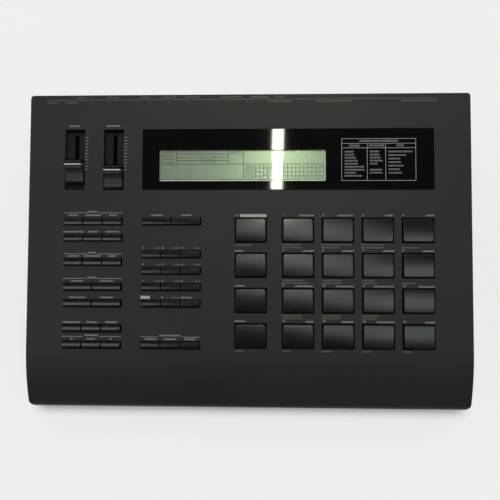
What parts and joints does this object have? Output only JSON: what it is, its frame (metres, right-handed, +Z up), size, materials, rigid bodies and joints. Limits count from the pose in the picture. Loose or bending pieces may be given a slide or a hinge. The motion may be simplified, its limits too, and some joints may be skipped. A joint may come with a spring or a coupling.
{
  "type": "drum machine",
  "caption": "Desk-top drum machine: a wedge-shaped dark case with a display, two sliders, small keys and square drum pads, and sockets at the rear.",
  "frame": {"origin": "under the middle of the bounding box, on the surface that the feet stand on", "axes": "+X to the player's right, +Y to the rear panel, +Z up"},
  "size_m": [0.406, 0.292, 0.0665],
  "materials": {
    "case_plastic": "fine moulded texture",
    "window_acrylic": "gloss",
    "lcd_glass": "clear over grey-green",
    "pad_rubber": "satin",
    "key_plastic": "satin",
    "slider_plastic": "satin",
    "black_steel": "fine powder coat",
    "frame_steel": "plain",
    "screw_steel": "black zinc",
    "nut_nickel": "nickel plate",
    "board_laminate": "solder mask",
    "switch_plastic": "plain",
    "socket_plastic": "plain",
    "sensor_rubber": "plain",
    "foot_rubber": "plain"
  },
  "bodies": {
    "case": {"upper_case": "case_plastic", "rear_panel": "black_steel", "bottom_plate": "black_steel", "feet": "foot_rubber", "screws": "screw_steel", "display_window": "window_acrylic", "lcd_glass": "lcd_glass", "lcd_module": "frame_steel", "panel_board": "board_laminate", "pad_sheet": "sensor_rubber", "key_switches": "switch_plastic", "slide_pots": "frame_steel", "main_board": "board_laminate", "jack_sockets": "socket_plastic", "jack_nuts": "nut_nickel", "sync_jacks": "socket_plastic", "din_sockets": "socket_plastic", "dc_inlet": "socket_plastic", "card_sockets": "socket_plastic", "power_switch": "switch_plastic", "contrast_pot": "frame_steel"},
    "left_slider": {"left_slider": "slider_plastic"},
    "right_slider": {"right_slider": "slider_plastic"},
    "contrast_knob": {"contrast_knob": "key_plastic"},
    "power_button": {"power_button": "key_plastic"},
    "pad_01": {"pad_01": "pad_rubber"},
    "pad_02": {"pad_02": "pad_rubber"},
    "pad_03": {"pad_03": "pad_rubber"},
    "pad_04": {"pad_04": "pad_rubber"},
    "pad_05": {"pad_05": "pad_rubber"},
    "pad_06": {"pad_06": "pad_rubber"},
    "pad_07": {"pad_07": "pad_rubber"},
    "pad_08": {"pad_08": "pad_rubber"},
    "pad_09": {"pad_09": "pad_rubber"},
    "pad_10": {"pad_10": "pad_rubber"},
    "pad_11": {"pad_11": "pad_rubber"},
    "pad_12": {"pad_12": "pad_rubber"},
    "pad_13": {"pad_13": "pad_rubber"},
    "pad_14": {"pad_14": "pad_rubber"},
    "pad_15": {"pad_15": "pad_rubber"},
    "pad_16": {"pad_16": "pad_rubber"},
    "control_pad_1": {"control_pad_1": "pad_rubber"},
    "control_pad_2": {"control_pad_2": "pad_rubber"},
    "control_pad_3": {"control_pad_3": "pad_rubber"},
    "control_pad_4": {"control_pad_4": "pad_rubber"},
    "left_keys_1": {"left_keys_1": "key_plastic"},
    "left_keys_2": {"left_keys_2": "key_plastic"},
    "left_keys_3": {"left_keys_3": "key_plastic"},
    "left_keys_4": {"left_keys_4": "key_plastic"},
    "left_keys_5": {"left_keys_5": "key_plastic"},
    "left_keys_6": {"left_keys_6": "key_plastic"},
    "left_keys_7": {"left_keys_7": "key_plastic"},
    "middle_keys_1": {"middle_keys_1": "key_plastic"},
    "middle_keys_2": {"middle_keys_2": "key_plastic"},
    "middle_keys_3": {"middle_keys_3": "key_plastic"},
    "middle_keys_4": {"middle_keys_4": "key_plastic"},
    "middle_keys_5": {"middle_keys_5": "key_plastic"},
    "middle_keys_6": {"middle_keys_6": "key_plastic"}
  },
  "joints": [
    {"name": "left_slider_slide", "type": "slide", "parent": "case", "child": "left_slider", "axis": [0, 0.9945, 0.1045], "range_m": [-0.0053, 0.0247]},
    {"name": "right_slider_slide", "type": "slide", "parent": "case", "child": "right_slider", "axis": [0, 0.9945, 0.1045], "range_m": [0, 0.03]},
    {"name": "contrast_knob_turn", "type": "hinge", "parent": "case", "child": "contrast_knob", "pos_m": [0.0288, 0.14, 0.02], "axis": [0, 1, 0], "range_deg": [-135, 135]},
    {"name": "power_button_press", "type": "slide", "parent": "case", "child": "power_button", "axis": [0, 1, 0], "range_m": [-0.003, 0], "stiffness_N_per_m": 400, "springref_m": 0.001},
    {"name": "pad_01_press", "type": "slide", "parent": "case", "child": "pad_01", "axis": [0, -0.1045, 0.9945], "range_m": [-0.0012, 0], "stiffness_N_per_m": 900, "springref_m": 0.0006},
    {"name": "pad_02_press", "type": "slide", "parent": "case", "child": "pad_02", "axis": [0, -0.1045, 0.9945], "range_m": [-0.0012, 0], "stiffness_N_per_m": 900, "springref_m": 0.0006},
    {"name": "pad_03_press", "type": "slide", "parent": "case", "child": "pad_03", "axis": [0, -0.1045, 0.9945], "range_m": [-0.0012, 0], "stiffness_N_per_m": 900, "springref_m": 0.0006},
    {"name": "pad_04_press", "type": "slide", "parent": "case", "child": "pad_04", "axis": [0, -0.1045, 0.9945], "range_m": [-0.0012, 0], "stiffness_N_per_m": 900, "springref_m": 0.0006},
    {"name": "pad_05_press", "type": "slide", "parent": "case", "child": "pad_05", "axis": [0, -0.1045, 0.9945], "range_m": [-0.0012, 0], "stiffness_N_per_m": 900, "springref_m": 0.0006},
    {"name": "pad_06_press", "type": "slide", "parent": "case", "child": "pad_06", "axis": [0, -0.1045, 0.9945], "range_m": [-0.0012, 0], "stiffness_N_per_m": 900, "springref_m": 0.0006},
    {"name": "pad_07_press", "type": "slide", "parent": "case", "child": "pad_07", "axis": [0, -0.1045, 0.9945], "range_m": [-0.0012, 0], "stiffness_N_per_m": 900, "springref_m": 0.0006},
    {"name": "pad_08_press", "type": "slide", "parent": "case", "child": "pad_08", "axis": [0, -0.1045, 0.9945], "range_m": [-0.0012, 0], "stiffness_N_per_m": 900, "springref_m": 0.0006},
    {"name": "pad_09_press", "type": "slide", "parent": "case", "child": "pad_09", "axis": [0, -0.1045, 0.9945], "range_m": [-0.0012, 0], "stiffness_N_per_m": 900, "springref_m": 0.0006},
    {"name": "pad_10_press", "type": "slide", "parent": "case", "child": "pad_10", "axis": [0, -0.1045, 0.9945], "range_m": [-0.0012, 0], "stiffness_N_per_m": 900, "springref_m": 0.0006},
    {"name": "pad_11_press", "type": "slide", "parent": "case", "child": "pad_11", "axis": [0, -0.1045, 0.9945], "range_m": [-0.0012, 0], "stiffness_N_per_m": 900, "springref_m": 0.0006},
    {"name": "pad_12_press", "type": "slide", "parent": "case", "child": "pad_12", "axis": [0, -0.1045, 0.9945], "range_m": [-0.0012, 0], "stiffness_N_per_m": 900, "springref_m": 0.0006},
    {"name": "pad_13_press", "type": "slide", "parent": "case", "child": "pad_13", "axis": [0, -0.1045, 0.9945], "range_m": [-0.0012, 0], "stiffness_N_per_m": 900, "springref_m": 0.0006},
    {"name": "pad_14_press", "type": "slide", "parent": "case", "child": "pad_14", "axis": [0, -0.1045, 0.9945], "range_m": [-0.0012, 0], "stiffness_N_per_m": 900, "springref_m": 0.0006},
    {"name": "pad_15_press", "type": "slide", "parent": "case", "child": "pad_15", "axis": [0, -0.1045, 0.9945], "range_m": [-0.0012, 0], "stiffness_N_per_m": 900, "springref_m": 0.0006},
    {"name": "pad_16_press", "type": "slide", "parent": "case", "child": "pad_16", "axis": [0, -0.1045, 0.9945], "range_m": [-0.0012, 0], "stiffness_N_per_m": 900, "springref_m": 0.0006},
    {"name": "control_pad_1_press", "type": "slide", "parent": "case", "child": "control_pad_1", "axis": [0, -0.1045, 0.9945], "range_m": [-0.0012, 0], "stiffness_N_per_m": 900, "springref_m": 0.0006},
    {"name": "control_pad_2_press", "type": "slide", "parent": "case", "child": "control_pad_2", "axis": [0, -0.1045, 0.9945], "range_m": [-0.0012, 0], "stiffness_N_per_m": 900, "springref_m": 0.0006},
    {"name": "control_pad_3_press", "type": "slide", "parent": "case", "child": "control_pad_3", "axis": [0, -0.1045, 0.9945], "range_m": [-0.0012, 0], "stiffness_N_per_m": 900, "springref_m": 0.0006},
    {"name": "control_pad_4_press", "type": "slide", "parent": "case", "child": "control_pad_4", "axis": [0, -0.1045, 0.9945], "range_m": [-0.0012, 0], "stiffness_N_per_m": 900, "springref_m": 0.0006},
    {"name": "left_keys_1_press", "type": "slide", "parent": "case", "child": "left_keys_1", "axis": [0, -0.1045, 0.9945], "range_m": [-0.0006, 0], "stiffness_N_per_m": 1500, "springref_m": 0.0004},
    {"name": "left_keys_2_press", "type": "slide", "parent": "case", "child": "left_keys_2", "axis": [0, -0.1045, 0.9945], "range_m": [-0.0006, 0], "stiffness_N_per_m": 1500, "springref_m": 0.0004},
    {"name": "left_keys_3_press", "type": "slide", "parent": "case", "child": "left_keys_3", "axis": [0, -0.1045, 0.9945], "range_m": [-0.0006, 0], "stiffness_N_per_m": 1500, "springref_m": 0.0004},
    {"name": "left_keys_4_press", "type": "slide", "parent": "case", "child": "left_keys_4", "axis": [0, -0.1045, 0.9945], "range_m": [-0.0006, 0], "stiffness_N_per_m": 1500, "springref_m": 0.0004},
    {"name": "left_keys_5_press", "type": "slide", "parent": "case", "child": "left_keys_5", "axis": [0, -0.1045, 0.9945], "range_m": [-0.0006, 0], "stiffness_N_per_m": 1500, "springref_m": 0.0004},
    {"name": "left_keys_6_press", "type": "slide", "parent": "case", "child": "left_keys_6", "axis": [0, -0.1045, 0.9945], "range_m": [-0.0006, 0], "stiffness_N_per_m": 1500, "springref_m": 0.0004},
    {"name": "left_keys_7_press", "type": "slide", "parent": "case", "child": "left_keys_7", "axis": [0, -0.1045, 0.9945], "range_m": [-0.0006, 0], "stiffness_N_per_m": 1500, "springref_m": 0.0004},
    {"name": "middle_keys_1_press", "type": "slide", "parent": "case", "child": "middle_keys_1", "axis": [0, -0.1045, 0.9945], "range_m": [-0.0006, 0], "stiffness_N_per_m": 1500, "springref_m": 0.0004},
    {"name": "middle_keys_2_press", "type": "slide", "parent": "case", "child": "middle_keys_2", "axis": [0, -0.1045, 0.9945], "range_m": [-0.0006, 0], "stiffness_N_per_m": 1500, "springref_m": 0.0004},
    {"name": "middle_keys_3_press", "type": "slide", "parent": "case", "child": "middle_keys_3", "axis": [0, -0.1045, 0.9945], "range_m": [-0.0006, 0], "stiffness_N_per_m": 1500, "springref_m": 0.0004},
    {"name": "middle_keys_4_press", "type": "slide", "parent": "case", "child": "middle_keys_4", "axis": [0, -0.1045, 0.9945], "range_m": [-0.0006, 0], "stiffness_N_per_m": 1500, "springref_m": 0.0004},
    {"name": "middle_keys_5_press", "type": "slide", "parent": "case", "child": "middle_keys_5", "axis": [0, -0.1045, 0.9945], "range_m": [-0.0006, 0], "stiffness_N_per_m": 1500, "springref_m": 0.0004},
    {"name": "middle_keys_6_press", "type": "slide", "parent": "case", "child": "middle_keys_6", "axis": [0, -0.1045, 0.9945], "range_m": [-0.0006, 0], "stiffness_N_per_m": 1500, "springref_m": 0.0004}
  ]
}
